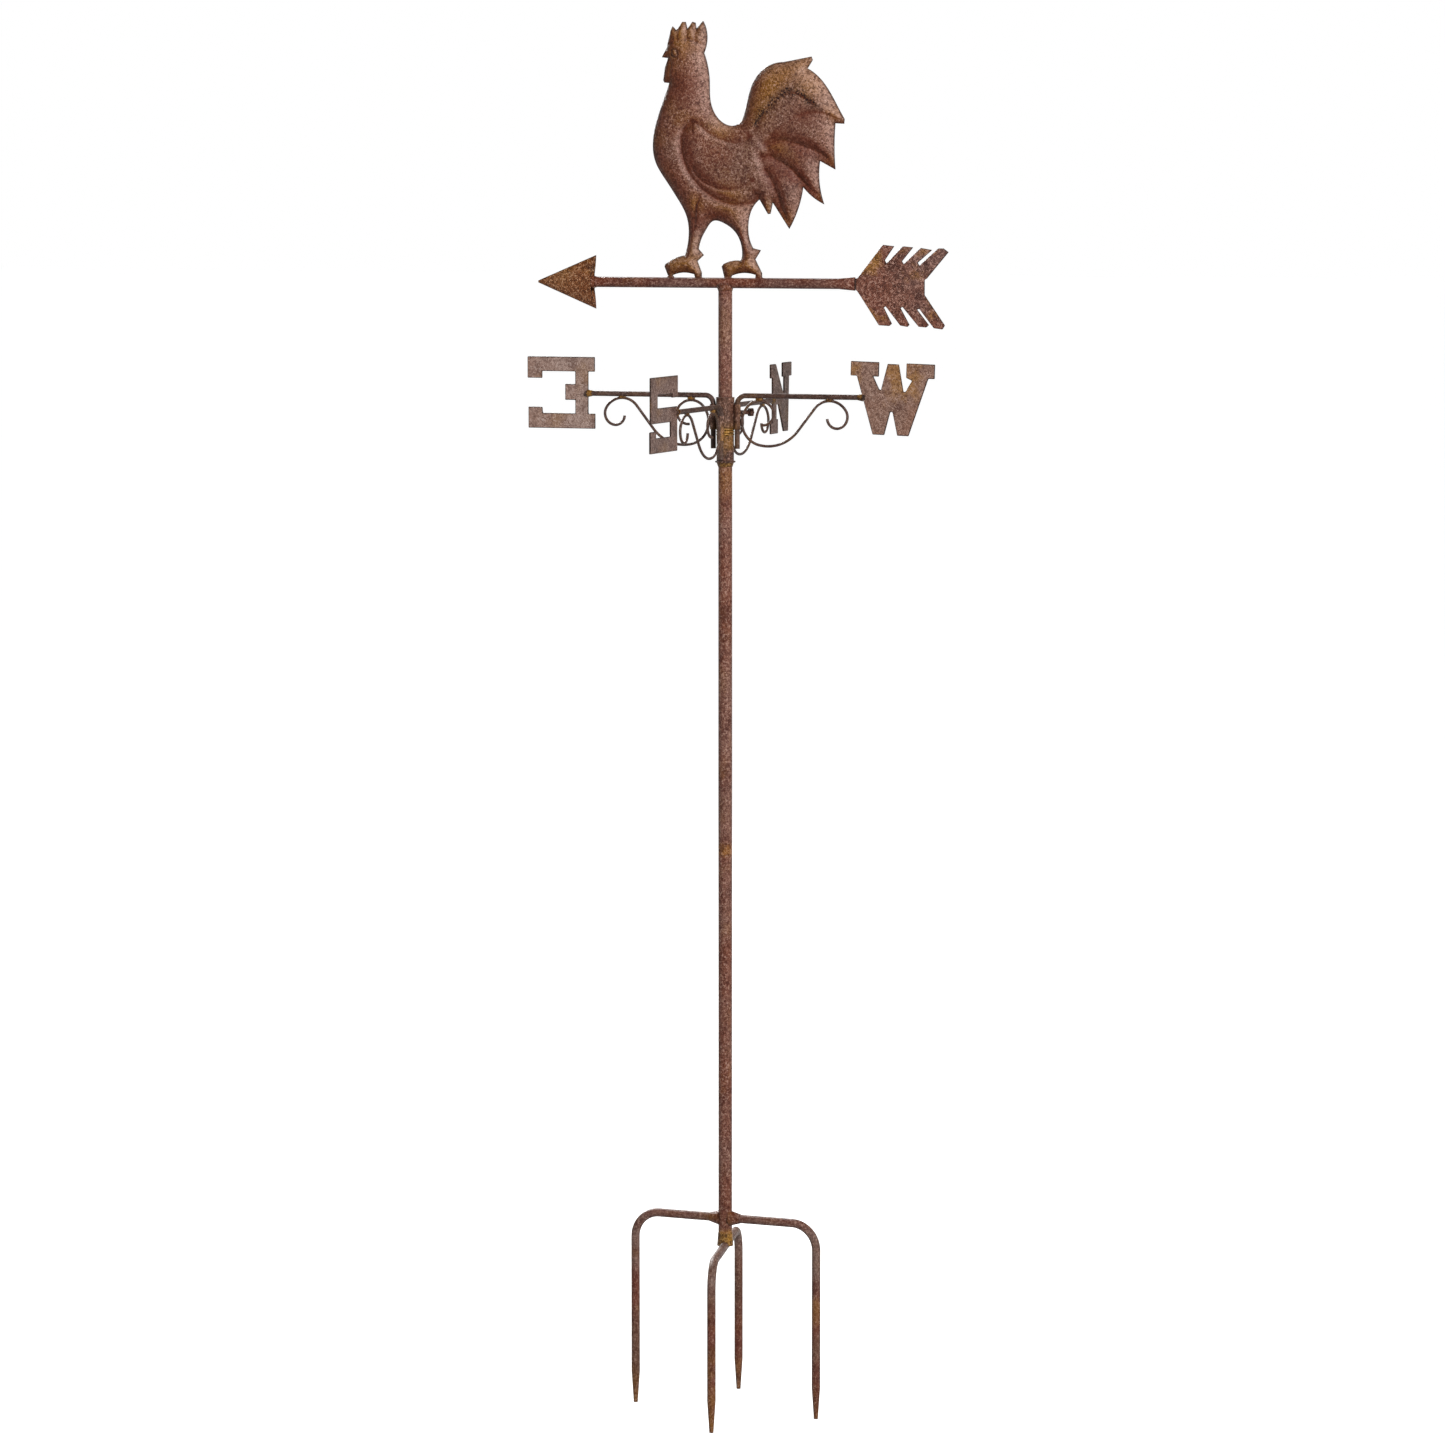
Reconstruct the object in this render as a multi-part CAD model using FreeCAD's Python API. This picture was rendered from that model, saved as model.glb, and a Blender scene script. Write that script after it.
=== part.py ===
import FreeCAD, Part
import math
import os

os.makedirs("parts", exist_ok=True)

# Rooster weather vane on a four-prong garden stake.  Millimetres, +Z up.
# The origin is on the pole's axis, level with the prong tips.
# The west arm points to +X, north to +Y, east to -X and south to -Y.

# ---- stake -------------------------------------------------------------------
PRONG_D = 10.0             # bent round bar
PRONG_R = 114.0            # pole axis to a prong's axis
PRONG_TIP_D = 5.0
PRONG_TAPER = 37.0
HOOP_BEND = 30.0           # centreline radius of every fork bend
HOOP_SKEW = 12.0           # front-back hoop's turn away from the Y axis, degrees
SIDE_SKEW = -2.5           # side prongs' turn away from the X axis, degrees
HOOP_Z = 196.0             # front-back bar's centreline, under the pole's end
SIDE_RISE = 32.5           # side bars' centreline above the front-back bar's
FORK_WELD_L = 13.0
FORK_WELD_D = 18.0
HOOP_WELD_H = 15.0

# ---- pole --------------------------------------------------------------------
POLE_D = 16.0
POLE_WALL = 1.2
JOINT_Z = 655.0            # where the upper pole stands on the lower pole
POLE_TOP_Z = 1172.0
COUPLER_UP = 45.0          # coupler's reach into the upper pole
COUPLER_DOWN = 60.0
COUPLER_WALL = 1.5
COUPLER_GAP = 0.08         # radial running clearance in both pole halves
STOP_RING_H = 6.0
STOP_RING_D = 8.0

# ---- pivot -------------------------------------------------------------------
PIVOT_D = 8.0
PLUG_L = 24.0
PIVOT_H = 111.0            # pivot rod's top above the pole's top
BALL_D = 6.0
BALL_SINK = 0.3            # part of the ball's radius that stands in the rod's cup
SLEEVE_WALL = 1.6          # loose bearing sleeve over the pivot rod
SLEEVE_GAP = 0.08          # radial running clearance, both inside and outside
SLEEVE_CROWN = 2.5
BALL_GAP = 0.1             # ball to the sleeve's crown, and crown to the cap
BUSH_SINK = 2.0            # rotor bush above the rotor tube's lower end
CAP_T = 6.0
ROTOR_GAP = 9.0            # pole's top to the rotor tube's lower end

# ---- hub ---------------------------------------------------------------------
HUB_GAP = 0.3              # radial clearance of the hub on pole and rotor
HUB_UPPER_WALL = 2.3
HUB_LOWER_WALL = 1.7
STOP_DROP = 62.5           # underside of the stop washer below the pole's top
STOP_T = 1.6
STOP_REACH = 3.75          # stop washer's edge beyond the pole's side
STOP_WELD_H = 5.0
HUB_REST = 0.4             # hub's lower edge above the stop washer
HUB_LOWER_H = 28.5
RING_D = 3.1               # one turn of brazed wire
RING_TURNS = 3
HUB_UPPER_H = 35.0

# ---- arms --------------------------------------------------------------------
ARM_D = 6.0
ARM_BEND = 10.0
SOCKET_GAP = 0.06          # radial running clearance of a leg in its socket
SOCKET_WALL = 0.95
SOCKET_L = 29.0
SOCKET_BELOW_HUB = 8.0     # top of the east and west sockets under the hub's top
ARM_STEP = 12.5            # north and south sockets below the east and west ones
LEG_L = 61.0               # rod's centreline down to the leg's end
WEB_T = 3.0                # weld web between a socket and the hub

# ---- scrolls -----------------------------------------------------------------
WIRE_D = 3.2
SCROLL_REACH = 107.9       # a socket's outer side to the outer curl's highest point
OUTER_CURL = [(23.0, 58.0), (13.5, 104.0), (11.5, 105.0)]
S_TURN = (22.5, 52.0)
S_RUN = 33.5
INNER_CURL = [(46.5, 65.0), (26.7, 121.0), (19.2, 89.0), (13.0, 146.0)]
TACK_L = 9.0
LETTER_WELD_L = 6.0

# ---- letters -----------------------------------------------------------------
PLATE_T = 2.0
SLOT_L = 4.0               # how far a rod end is slotted over its letter
WEST_ROLL = 1.7            # west letter's roll as welded, degrees

# ---- clamp bolt --------------------------------------------------------------
BOLT_D = 5.0
BOLT_ANGLE = 45.0          # between west and north, degrees
BOLT_DROP = 17.8           # bolt's axis below the hub's top
BOLT_GAP = 0.06
BOLT_HEAD_AF = 9.0
BOLT_HEAD_T = 4.5
BOLT_REACH = 19.4          # hub's side to the head's inner face
NUT_AF = 9.5
NUT_T = 5.0

# ---- vane --------------------------------------------------------------------
SHAFT_H = 143.0            # arrow shaft's centreline above the pole's top
SHAFT_D = 12.0
SHAFT_WALL = 1.2
HEAD_TIP_X = -230.5
HEAD_BACK_X = -158.5
HEAD_HALF_H = 31.0
HEAD_NOTCH = 4.5           # how far the head's back edge is cut in at the shaft
HEAD_NOTCH_H = 18.0        # height of the notch's straight bottom
HEAD_TIP_SIZE = 0.04       # tip section as a share of the back section
SHEET_T = 1.0
HEAD_SPARE = 0.4           # between the shaft and the pocket's flat sides
NOSE_L = 30.0              # the shaft's crimped nose inside the head
FLARE_L = 20.0
FLARE_H = 15.4
TAIL_ROOT_X = 157.0
TAIL_TONGUE = 10.0
CLEAR = 0.3                # between surfaces that don't touch
BEAD = 1.5                 # a small weld bead's reach past what it joins

# ---- rooster -----------------------------------------------------------------
# Heights are above the arrow shaft's top, x is from the pole's axis, and the bird
# faces -X.  "line" stretches have corners, "curve" stretches are smooth.
ROOSTER = [
    ("line", [(-77, 251), (-70.8, 262.5), (-69.5, 269), (-66.4, 281), (-64, 286), (-59.5, 281.5),
              (-52.2, 291), (-48.2, 291), (-46, 283), (-39.8, 291), (-36.3, 290), (-35, 283),
              (-26.9, 291.8)]),
    ("curve", [(-22.6, 281), (-21.8, 273.5), (-25.8, 255.5)]),
    ("curve", [(-22.3, 245), (-19.1, 224), (-17.9, 200), (-11.7, 185), (-1, 175.3), (8.2, 172.9),
               (17.5, 176), (23.2, 186), (30.2, 213), (38.3, 229), (52, 240.3), (70.6, 244.7)]),
    ("line", [(103.9, 250.7), (105.4, 246.7), (99.3, 237.4)]),
    ("curve", [(121.2, 218), (132.6, 199.6), (143.7, 180.2)]),
    ("line", [(143.2, 174.8), (132.7, 175.4)]),
    ("curve", [(131.6, 152), (132.8, 123.4)]),
    ("line", [(114.4, 133)]),
    ("curve", [(113.7, 109), (119.5, 84)]),
    ("curve", [(105.3, 92.7), (94.3, 103.5)]),
    ("curve", [(91.5, 89.4), (77.7, 56.2)]),
    ("line", [(57.6, 86), (54.8, 73), (52, 72.6), (41.7, 89.3)]),
    ("curve", [(31.3, 76), (27.9, 61), (29.5, 43.5), (33.8, 33.8)]),
    ("line", [(43.2, 31.5), (36.5, 21), (44.5, 5.5), (44.8, 0), (37, 0), (37, 3.4)]),
    ("curve", [(22.9, 5.5), (8.1, 2.3)]),
    ("line", [(7.1, 0), (-0.8, 0), (-4.1, 12.7), (-2, 15.6)]),
    ("curve", [(7, 19), (18.3, 19.6)]),
    ("line", [(20.6, 24.2)]),
    ("curve", [(19.8, 37), (14, 50), (-1, 62), (-15, 64.5), (-23.6, 54.6), (-27.8, 47.5),
               (-32.5, 32.5)]),
    ("line", [(-26.2, 25.6), (-34, 18.6), (-28.8, 5.5), (-28.8, 0), (-36.8, 0), (-37.7, 3.6)]),
    ("curve", [(-51.8, 5.4), (-64, 2.5)]),
    ("line", [(-64.4, 0), (-69, 0), (-74, 12.2), (-73, 15)]),
    ("curve", [(-66, 19.6), (-48.9, 25.5)]),
    ("curve", [(-47, 31.6), (-44.4, 47.5), (-46.8, 69.4), (-57, 88.6), (-72, 110.5), (-85.3, 132.7),
               (-88.1, 154.5), (-84.1, 176.3), (-75.9, 200.3), (-68, 221.6)]),
    ("line", [(-74, 222.3), (-75.3, 224.8), (-73.3, 239.4), (-69.5, 250)]),
]
BODY_BASE = [(-60, 240), (-34, 240), (-27, 212), (-20, 190), (-2, 171), (22, 168), (41, 158),
             (48, 128), (39, 98), (14, 81), (-18, 79), (-46, 88), (-71, 122), (-82, 154), (-74, 190),
             (-63, 218)]
BODY_CREST = [(-54, 228), (-43, 228), (-38, 206), (-31, 184), (-10, 160), (16, 156), (32, 148),
              (38, 128), (30, 106), (10, 92), (-14, 90), (-38, 98), (-60, 128), (-70, 154), (-64, 186)]
BODY_DEPTH = 8.0
WING_BASE = [(-56, 146), (-46, 167), (-20, 155), (8, 148), (28, 141), (30, 119), (10, 99), (-14, 97),
             (-40, 107)]
WING_CREST = [(-48, 145), (-42, 156), (-20, 147), (7, 140), (21, 134), (22, 120), (7, 107), (-12, 105),
              (-34, 113)]
WING_DEPTH = 3.0
TAIL_BASE = [(46, 205), (58, 227), (90, 230), (116, 204), (124, 176), (120, 146), (104, 124), (88, 102),
             (71, 92), (60, 110), (56, 150)]
TAIL_CREST = [(58, 200), (66, 216), (86, 218), (105, 198), (111, 174), (106, 150), (93, 130), (80, 114),
              (74, 112), (69, 124), (66, 152)]
TAIL_DEPTH = 5.0
FOOT_X = [-66.7, -32.8, 3.2, 40.9]
FOOT_WELD_L = 9.0

# ---- compass letters ---------------------------------------------------------
# Each outline is (distance from the pole's axis, height above its rod's centreline).
WEST = [(151, 40), (185, 40), (185, 23.5), (178.5, 23.5), (186, 9), (188, 9), (195, 38.5),
        (208.5, 38.5), (215, 7.5), (217, 7.5), (224.5, 20.5), (217.5, 23.5), (217.5, 40), (251.5, 40),
        (251.5, 23.5), (244, 23.5), (222.5, -42.5), (209, -42.5), (202.5, -16), (200, -16),
        (193.5, -42.5), (179.5, -42.5), (158.5, 23.5), (151, 23.5)]
EAST = [(160.5, 42), (244.5, 42), (244.5, 17), (226, 17), (226, 25), (185, 25), (185, 10.5),
        (197.5, 10.5), (197.5, -8), (185, -8), (185, -23.5), (225.5, -23.5), (226, -16.5), (243.5, -16.5),
        (243.5, -41), (160, -41), (160, -23.5), (168.5, -23.5), (168.5, 25), (160.5, 25)]
NORTH = [(154, 42.5), (173, 42.5), (199, 7.5), (201.5, 7.5), (201.5, 26.5), (196, 26.5), (196, 43.5),
         (228, 43.5), (228, 27), (219.5, 27), (216, -38), (200, -38), (182, -5.5), (175, -5.5),
         (175, -22.5), (180, -22.5), (180, -39.5), (154, -39.5), (154, -26), (161, -26), (161, 26),
         (154, 26)]
SOUTH = [(157, 41.5), (243, 41.5), (243, -10), (180, -10), (180, -26), (226, -26), (226, -18.5),
         (244.5, -18.5), (244.5, -43), (159, -43), (159, 7), (221, 7), (221, 21.5), (175, 21.5),
         (175, 17), (157, 17)]

# ---- fletching ---------------------------------------------------------------
# (x, height above the arrow shaft's centreline) of the tail plate behind its root.
FLETCHING = [(157, 6), (159.5, 6.5), (163, 10.5), (190, 44.5), (203.5, 43), (192.3, 27), (194.5, 23.5),
             (214, 43), (226, 41.8), (212.8, 26), (215, 22.8), (235, 41.2), (248.6, 39), (231.5, 24.5),
             (233.5, 21.3), (256, 40.8), (262, 40.8), (268, 36.6), (242, 6.3), (239.8, 5.5),
             (239.8, -11.8), (264, -46), (261, -50.5), (251, -49.2), (233.5, -27.5), (231, -28.3),
             (245, -45.6), (242, -48.4), (233, -47.8), (213.5, -25.5), (211.3, -26.8), (222, -45.8),
             (219.5, -48), (211, -46.6), (193.5, -25), (191.3, -26.4), (201, -44.6), (198, -47.2),
             (185.5, -46.5), (163, -13), (159.5, -8.2), (157, -6)]

# ---- values that follow from the sizes above ---------------------------------
POLE_R = POLE_D / 2
POLE_BORE = POLE_R - POLE_WALL
PRONG_BAR = PRONG_D / 2
POLE_END_Z = HOOP_Z + PRONG_BAR
SIDE_Z = HOOP_Z + SIDE_RISE
COUPLER_R = POLE_BORE - COUPLER_GAP
PIVOT_R = PIVOT_D / 2
SLEEVE_BORE = PIVOT_R + SLEEVE_GAP
SLEEVE_R = SLEEVE_BORE + SLEEVE_WALL
BUSH_BORE = SLEEVE_R + SLEEVE_GAP
ROTOR_Z = POLE_TOP_Z + ROTOR_GAP
PIVOT_TOP_Z = POLE_TOP_Z + PIVOT_H
BALL_Z = PIVOT_TOP_Z + BALL_D / 2 * (1 - BALL_SINK)
CROWN_Z = BALL_Z + BALL_D / 2 + BALL_GAP
SLEEVE_TOP_Z = CROWN_Z + SLEEVE_CROWN
HUB_BORE = POLE_R + HUB_GAP
HUB_R = HUB_BORE + HUB_UPPER_WALL
HUB_LOWER_R = HUB_BORE + HUB_LOWER_WALL
STOP_Z = POLE_TOP_Z - STOP_DROP
STOP_TOP_Z = STOP_Z + STOP_T
HUB_Z = STOP_TOP_Z + HUB_REST
RINGS_Z = HUB_Z + HUB_LOWER_H
UPPER_Z = RINGS_Z + RING_D * RING_TURNS
HUB_TOP_Z = UPPER_Z + HUB_UPPER_H
ARM_R = ARM_D / 2
SOCKET_BORE = ARM_R + SOCKET_GAP
SOCKET_R = SOCKET_BORE + SOCKET_WALL
LEG_R = HUB_R + SOCKET_R
WIRE_R = WIRE_D / 2
SCROLL_TOP_R = LEG_R + SOCKET_R + SCROLL_REACH
SHAFT_Z = POLE_TOP_Z + SHAFT_H
SHAFT_R = SHAFT_D / 2
SHAFT_TOP_Z = SHAFT_Z + SHAFT_R
BOLT_R = BOLT_D / 2
BOLT_Z = HUB_TOP_Z - BOLT_DROP
BOLT_HEAD_R = HUB_R + BOLT_REACH
HEAD_LEN = HEAD_BACK_X - HEAD_TIP_X
HEAD_THICK = SHAFT_R + HEAD_SPARE + SHEET_T    # half the pocket's outside thickness at its back
NOSE_TIP_D = SHAFT_D / 2


def vec(x, y, z):
    return FreeCAD.Vector(x, y, z)


UP = vec(0, 0, 1)
AXIS = vec(0, 0, 0)


def turned(shape, degrees):
    """A copy of a shape turned about the pole's axis."""
    copy = shape.copy()
    copy.rotate(AXIS, UP, degrees)
    return copy


def rod(radius, low, high, x=0.0, y=0.0):
    return Part.makeCylinder(radius, high - low, vec(x, y, low), UP)


def tube(outer, bore, low, high, x=0.0, y=0.0):
    return rod(outer, low, high, x, y).cut(rod(bore, low - 1, high + 1, x, y))


def bar_x(radius, x_low, x_high, z, y=0.0):
    """A round bar along X."""
    return Part.makeCylinder(radius, x_high - x_low, vec(x_low, y, z), vec(1, 0, 0))


def revolved(profile):
    """A solid of revolution about the pole's axis from (radius, height) corners."""
    face = Part.Face(Part.makePolygon([vec(r, 0, z) for r, z in profile + profile[:1]]))
    return face.revolve(AXIS, UP, 360)


def straight_plate(points, thickness, z=0.0):
    """A flat plate with straight edges, standing in the XZ plane and centred on it."""
    corners = [vec(x, -thickness / 2, z + height) for x, height in points]
    return Part.Face(Part.makePolygon(corners + corners[:1])).extrude(vec(0, thickness, 0))


def smooth_loop(points, y, z=0.0):
    """A closed smooth wire through points, at one distance from the XZ plane."""
    curve = Part.BSplineCurve()
    curve.interpolate(Points=[vec(px, y, z + pz) for px, pz in points], PeriodicFlag=True)
    return Part.Wire(curve.toShape())


def bent_path(points, bend):
    """Straight runs joined by tangent arcs of one radius."""
    edges = []
    start = points[0]
    for before, corner, after in zip(points, points[1:], points[2:]):
        back = (before - corner).normalize()
        ahead = (after - corner).normalize()
        half = back.getAngle(ahead) / 2
        reach = bend / math.tan(half)
        middle = (back + ahead).normalize() * (bend / math.sin(half) - bend)
        arc_in = corner + back * reach
        arc_out = corner + ahead * reach
        edges.append(Part.LineSegment(start, arc_in).toShape())
        edges.append(Part.Arc(arc_in, corner + middle, arc_out).toShape())
        start = arc_out
    edges.append(Part.LineSegment(start, points[-1]).toShape())
    return Part.Wire(edges)


def swept(path, radius):
    """A round bar along a path."""
    first = path.Edges[0]
    start = first.valueAt(first.FirstParameter)
    circle = Part.makeCircle(radius, start, first.tangentAt(first.FirstParameter))
    return path.makePipeShell([Part.Wire(circle)], True, True)


def prong_tip(x):
    """The tapered end of a prong that stands on the X axis."""
    return Part.makeCone(PRONG_TIP_D / 2, PRONG_BAR, PRONG_TAPER, vec(x, 0, 0), UP)


def front_back_hoop():
    """A U-bent bar that passes under the pole's end."""
    path = bent_path([vec(-PRONG_R, 0, PRONG_TAPER), vec(-PRONG_R, 0, HOOP_Z), vec(PRONG_R, 0, HOOP_Z),
                      vec(PRONG_R, 0, PRONG_TAPER)], HOOP_BEND)
    bar = swept(path, PRONG_BAR)
    return turned(bar.fuse([prong_tip(-PRONG_R), prong_tip(PRONG_R)]), 90 + HOOP_SKEW)


def side_prong(angle):
    """An L-bent bar coped against the pole's side."""
    path = bent_path([vec(PRONG_R, 0, PRONG_TAPER), vec(PRONG_R, 0, SIDE_Z), vec(0, 0, SIDE_Z)], HOOP_BEND)
    bar = swept(path, PRONG_BAR).fuse(prong_tip(PRONG_R))
    return turned(bar.cut(rod(POLE_R, POLE_END_Z, JOINT_Z)), angle)


def side_weld(angle):
    """A flared weld bead round a side bar's end."""
    inner = Part.makeCone(FORK_WELD_D / 2, PRONG_BAR + 0.4, FORK_WELD_L, vec(POLE_R - 2, 0, SIDE_Z),
                          vec(1, 0, 0))
    hollow = inner.cut(rod(POLE_R, POLE_END_Z, JOINT_Z)).cut(bar_x(PRONG_BAR, 0, PRONG_R, SIDE_Z))
    return turned(hollow, angle)


def hoop_weld():
    """The weld that wraps the pole's end and laps over the bar under it."""
    collar = Part.makeCone(POLE_R + BEAD, POLE_R + 0.4, HOOP_WELD_H, vec(0, 0, HOOP_Z), UP)
    hollow = collar.cut(rod(POLE_R, HOOP_Z - 1, HOOP_Z + HOOP_WELD_H + 1))
    return hollow.cut(turned(bar_x(PRONG_BAR, -PRONG_R, PRONG_R, HOOP_Z), 90 + HOOP_SKEW))


def pole_coupler():
    """The loose tube that joins the two pole halves inside."""
    return tube(COUPLER_R, COUPLER_R - COUPLER_WALL, JOINT_Z - COUPLER_DOWN, JOINT_Z + COUPLER_UP)


def coupler_stop():
    """The ring in the lower pole that the coupler stands on."""
    top = JOINT_Z - COUPLER_DOWN
    return tube(POLE_BORE, STOP_RING_D / 2, top - STOP_RING_H, top)


def pole_top_plug():
    """The plug that carries the pivot rod in the pole's top."""
    return tube(POLE_BORE, PIVOT_R, POLE_TOP_Z - PLUG_L, POLE_TOP_Z)


def pivot_rod():
    """The rod that the vane turns on, with a cup for the ball in its top."""
    bar = rod(PIVOT_R, POLE_TOP_Z - PLUG_L, PIVOT_TOP_Z)
    return bar.cut(Part.makeSphere(BALL_D / 2, vec(0, 0, BALL_Z)))


def bearing_sleeve():
    """A closed-end sleeve that hangs on the ball and lines the rotor."""
    return revolved([(SLEEVE_BORE, ROTOR_Z), (SLEEVE_R, ROTOR_Z), (SLEEVE_R, SLEEVE_TOP_Z),
                     (0, SLEEVE_TOP_Z), (0, CROWN_Z), (SLEEVE_BORE, CROWN_Z)])


def rotor_bush():
    """The bush in the rotor tube that runs on the bearing sleeve."""
    low = ROTOR_Z + BUSH_SINK
    return tube(POLE_BORE, BUSH_BORE, low, low + PLUG_L)


def rotor_cap():
    """The plug in the rotor tube that sits on the bearing sleeve's crown."""
    return rod(POLE_BORE, SLEEVE_TOP_Z + BALL_GAP, SLEEVE_TOP_Z + CAP_T)


def rotor_tube():
    """The vane's upright tube, coped to the underside of the arrow shaft."""
    body = tube(POLE_R, POLE_BORE, ROTOR_Z, SHAFT_Z)
    return body.cut(bar_x(SHAFT_R, -POLE_D, POLE_D, SHAFT_Z))


def shaft_weld():
    """The fillet bead where the rotor tube meets the arrow shaft."""
    low = SHAFT_Z - SHAFT_R - 3
    collar = Part.makeCone(POLE_R + 0.3, POLE_R + 2.2, 7, vec(0, 0, low), UP)
    hollow = collar.cut(rod(POLE_R, low - 1, SHAFT_Z))
    return hollow.cut(bar_x(SHAFT_R, -2 * POLE_D, 2 * POLE_D, SHAFT_Z))


def bolt_axis_cut(radius, start, length):
    """A round cut along the clamp bolt's axis."""
    bore = Part.makeCylinder(radius, length, vec(start, 0, BOLT_Z), vec(1, 0, 0))
    return turned(bore, BOLT_ANGLE)


def hub_upper_sleeve():
    sleeve = tube(HUB_R, HUB_BORE, UPPER_Z, HUB_TOP_Z)
    return sleeve.cut(bolt_axis_cut(BOLT_R + BOLT_GAP, 0, 2 * HUB_R))


def hub_lower_sleeve():
    return tube(HUB_LOWER_R, HUB_BORE, HUB_Z, RINGS_Z)


def hub_rings():
    """The brazed turns of wire between the two sleeves, as one grooved collar."""
    waist = HUB_LOWER_R - 0.6
    crest = HUB_LOWER_R + 0.5
    edges = [Part.makeLine(vec(waist, 0, RINGS_Z), vec(HUB_BORE, 0, RINGS_Z)),
             Part.makeLine(vec(HUB_BORE, 0, RINGS_Z), vec(HUB_BORE, 0, UPPER_Z)),
             Part.makeLine(vec(HUB_BORE, 0, UPPER_Z), vec(waist, 0, UPPER_Z))]
    for turn in range(RING_TURNS):
        top = UPPER_Z - turn * RING_D
        edges.append(Part.Arc(vec(waist, 0, top), vec(crest, 0, top - RING_D / 2),
                              vec(waist, 0, top - RING_D)).toShape())
    return Part.Face(Part.Wire(edges)).revolve(AXIS, UP, 360)


def socket(angle, top):
    """A leg socket with its weld web, coped to the hub's upper sleeve."""
    low = top - SOCKET_L
    shell = rod(SOCKET_R, low, top, LEG_R)
    web = Part.makeBox(LEG_R, WEB_T, SOCKET_L, vec(0, -WEB_T / 2, low))
    body = shell.fuse(web).cut(rod(HUB_R, low - 1, top + 1))
    return turned(body.cut(rod(SOCKET_BORE, low - 1, top + 1, LEG_R)), angle)


def hexagon(across, start, length):
    """A hexagonal prism along X with its flats to +Y and -Y."""
    reach = across / math.sqrt(3)
    angles = [math.radians(60 * side) for side in range(7)]
    corners = [vec(start, reach * math.cos(angle), BOLT_Z + reach * math.sin(angle)) for angle in angles]
    return Part.Face(Part.makePolygon(corners)).extrude(vec(length, 0, 0))


def clamp_nut():
    """The nut welded to the hub, with a saddle against the sleeve."""
    start = HUB_R - 1.5
    body = hexagon(NUT_AF, start, NUT_T + 1.5).cut(rod(HUB_R, UPPER_Z - 1, HUB_TOP_Z + 1))
    return turned(body, BOLT_ANGLE).cut(bolt_axis_cut(BOLT_R + BOLT_GAP, 0, 4 * HUB_R))


def clamp_bolt_shank():
    """The threaded shank; its point stands just off the pole."""
    start = POLE_R + CLEAR
    bar = Part.makeCylinder(BOLT_R, BOLT_HEAD_R - start, vec(start, 0, BOLT_Z), vec(1, 0, 0))
    return turned(bar, BOLT_ANGLE)


def clamp_bolt_head():
    return turned(hexagon(BOLT_HEAD_AF, BOLT_HEAD_R, BOLT_HEAD_T), BOLT_ANGLE)


def arm_plate(letter, roll):
    """A letter plate in its arm's own frame, with its rod's centreline at height 0."""
    plate = straight_plate(letter, PLATE_T)
    xs = [x for x, height in letter]
    plate.rotate(vec((min(xs) + max(xs)) / 2, 0, 0), vec(0, 1, 0), roll)
    return plate


def arm_rod(plate, plate_edge):
    """The bent rod of an arm: leg, bend and horizontal run, slotted over its letter."""
    path = bent_path([vec(LEG_R, 0, -LEG_L), vec(LEG_R, 0, 0), vec(plate_edge + SLOT_L, 0, 0)], ARM_BEND)
    return swept(path, ARM_R).cut(plate)


def spun(point, centre, angle):
    """A point turned about a centre in the XZ plane, from +X towards +Z."""
    arm = point - centre
    across = arm.x * math.cos(angle) - arm.z * math.sin(angle)
    return centre + vec(across, 0, arm.x * math.sin(angle) + arm.z * math.cos(angle))


def turtle(point, heading, steps):
    """Edges of a tangent chain: (radius, turn in degrees), or (0, length) for a run."""
    edges = []
    for radius, amount in steps:
        if radius == 0:
            end = point + vec(math.cos(heading), 0, math.sin(heading)) * amount
            edges.append(Part.LineSegment(point, end).toShape())
        else:
            side = math.copysign(radius, amount)
            centre = point + vec(-math.sin(heading), 0, math.cos(heading)) * side
            angle = math.radians(amount)
            end = spun(point, centre, angle)
            edges.append(Part.Arc(point, spun(point, centre, angle / 2), end).toShape())
            heading += angle
        point = end
    return edges


def scroll_inner_steps():
    return [S_TURN, (0, S_RUN)] + [(radius, -turn) for radius, turn in INNER_CURL]


def scroll():
    """The S-scroll under an arm, from its outer curl to its inner curl."""
    top = vec(SCROLL_TOP_R, 0, -(ARM_R + WIRE_R))
    outer = turtle(top, 0.0, [(radius, -turn) for radius, turn in OUTER_CURL])
    inner = turtle(top, math.pi, scroll_inner_steps())
    halves = [swept(Part.Wire(edges), WIRE_R) for edges in (outer, inner)]
    return halves[0].fuse(halves[1]).removeSplitter()


def spindle_x(radius, end_radius, length, x, z):
    """A bead with tapered ends, lying along X."""
    half = length / 2
    profile = [(-half, 0), (-half, end_radius), (-half / 2, radius), (half / 2, radius),
               (half, end_radius), (half, 0)]
    corners = [vec(x + dx, 0, z + r) for dx, r in profile]
    face = Part.Face(Part.makePolygon(corners + corners[:1]))
    return face.revolve(vec(x, 0, z), vec(1, 0, 0), 360)


def inner_top_x():
    """Where the inner curl comes nearest to its rod."""
    edges = turtle(vec(SCROLL_TOP_R, 0, 0), math.pi, scroll_inner_steps())
    return edges[-2].Curve.Center.x


def arm_welds(bar, wire, plate, plate_edge):
    """Tack welds under the rod at both curls, and the weld at the letter."""
    tacks = [spindle_x(WIRE_D * 0.8, WIRE_R * 0.6, TACK_L, x, -ARM_R - WIRE_R * 0.4)
             for x in (SCROLL_TOP_R, inner_top_x())]
    start = vec(plate_edge + 1 - LETTER_WELD_L, 0, 0)
    collar = Part.makeCone(ARM_R + 0.2, ARM_R + BEAD, LETTER_WELD_L, start, vec(1, 0, 0))
    solids = []
    for bead in tacks + [collar]:
        solids += bead.cut(bar).cut(wire).cut(plate).Solids
    return Part.makeCompound([solid for solid in solids if solid.Volume > 0.5])


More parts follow.
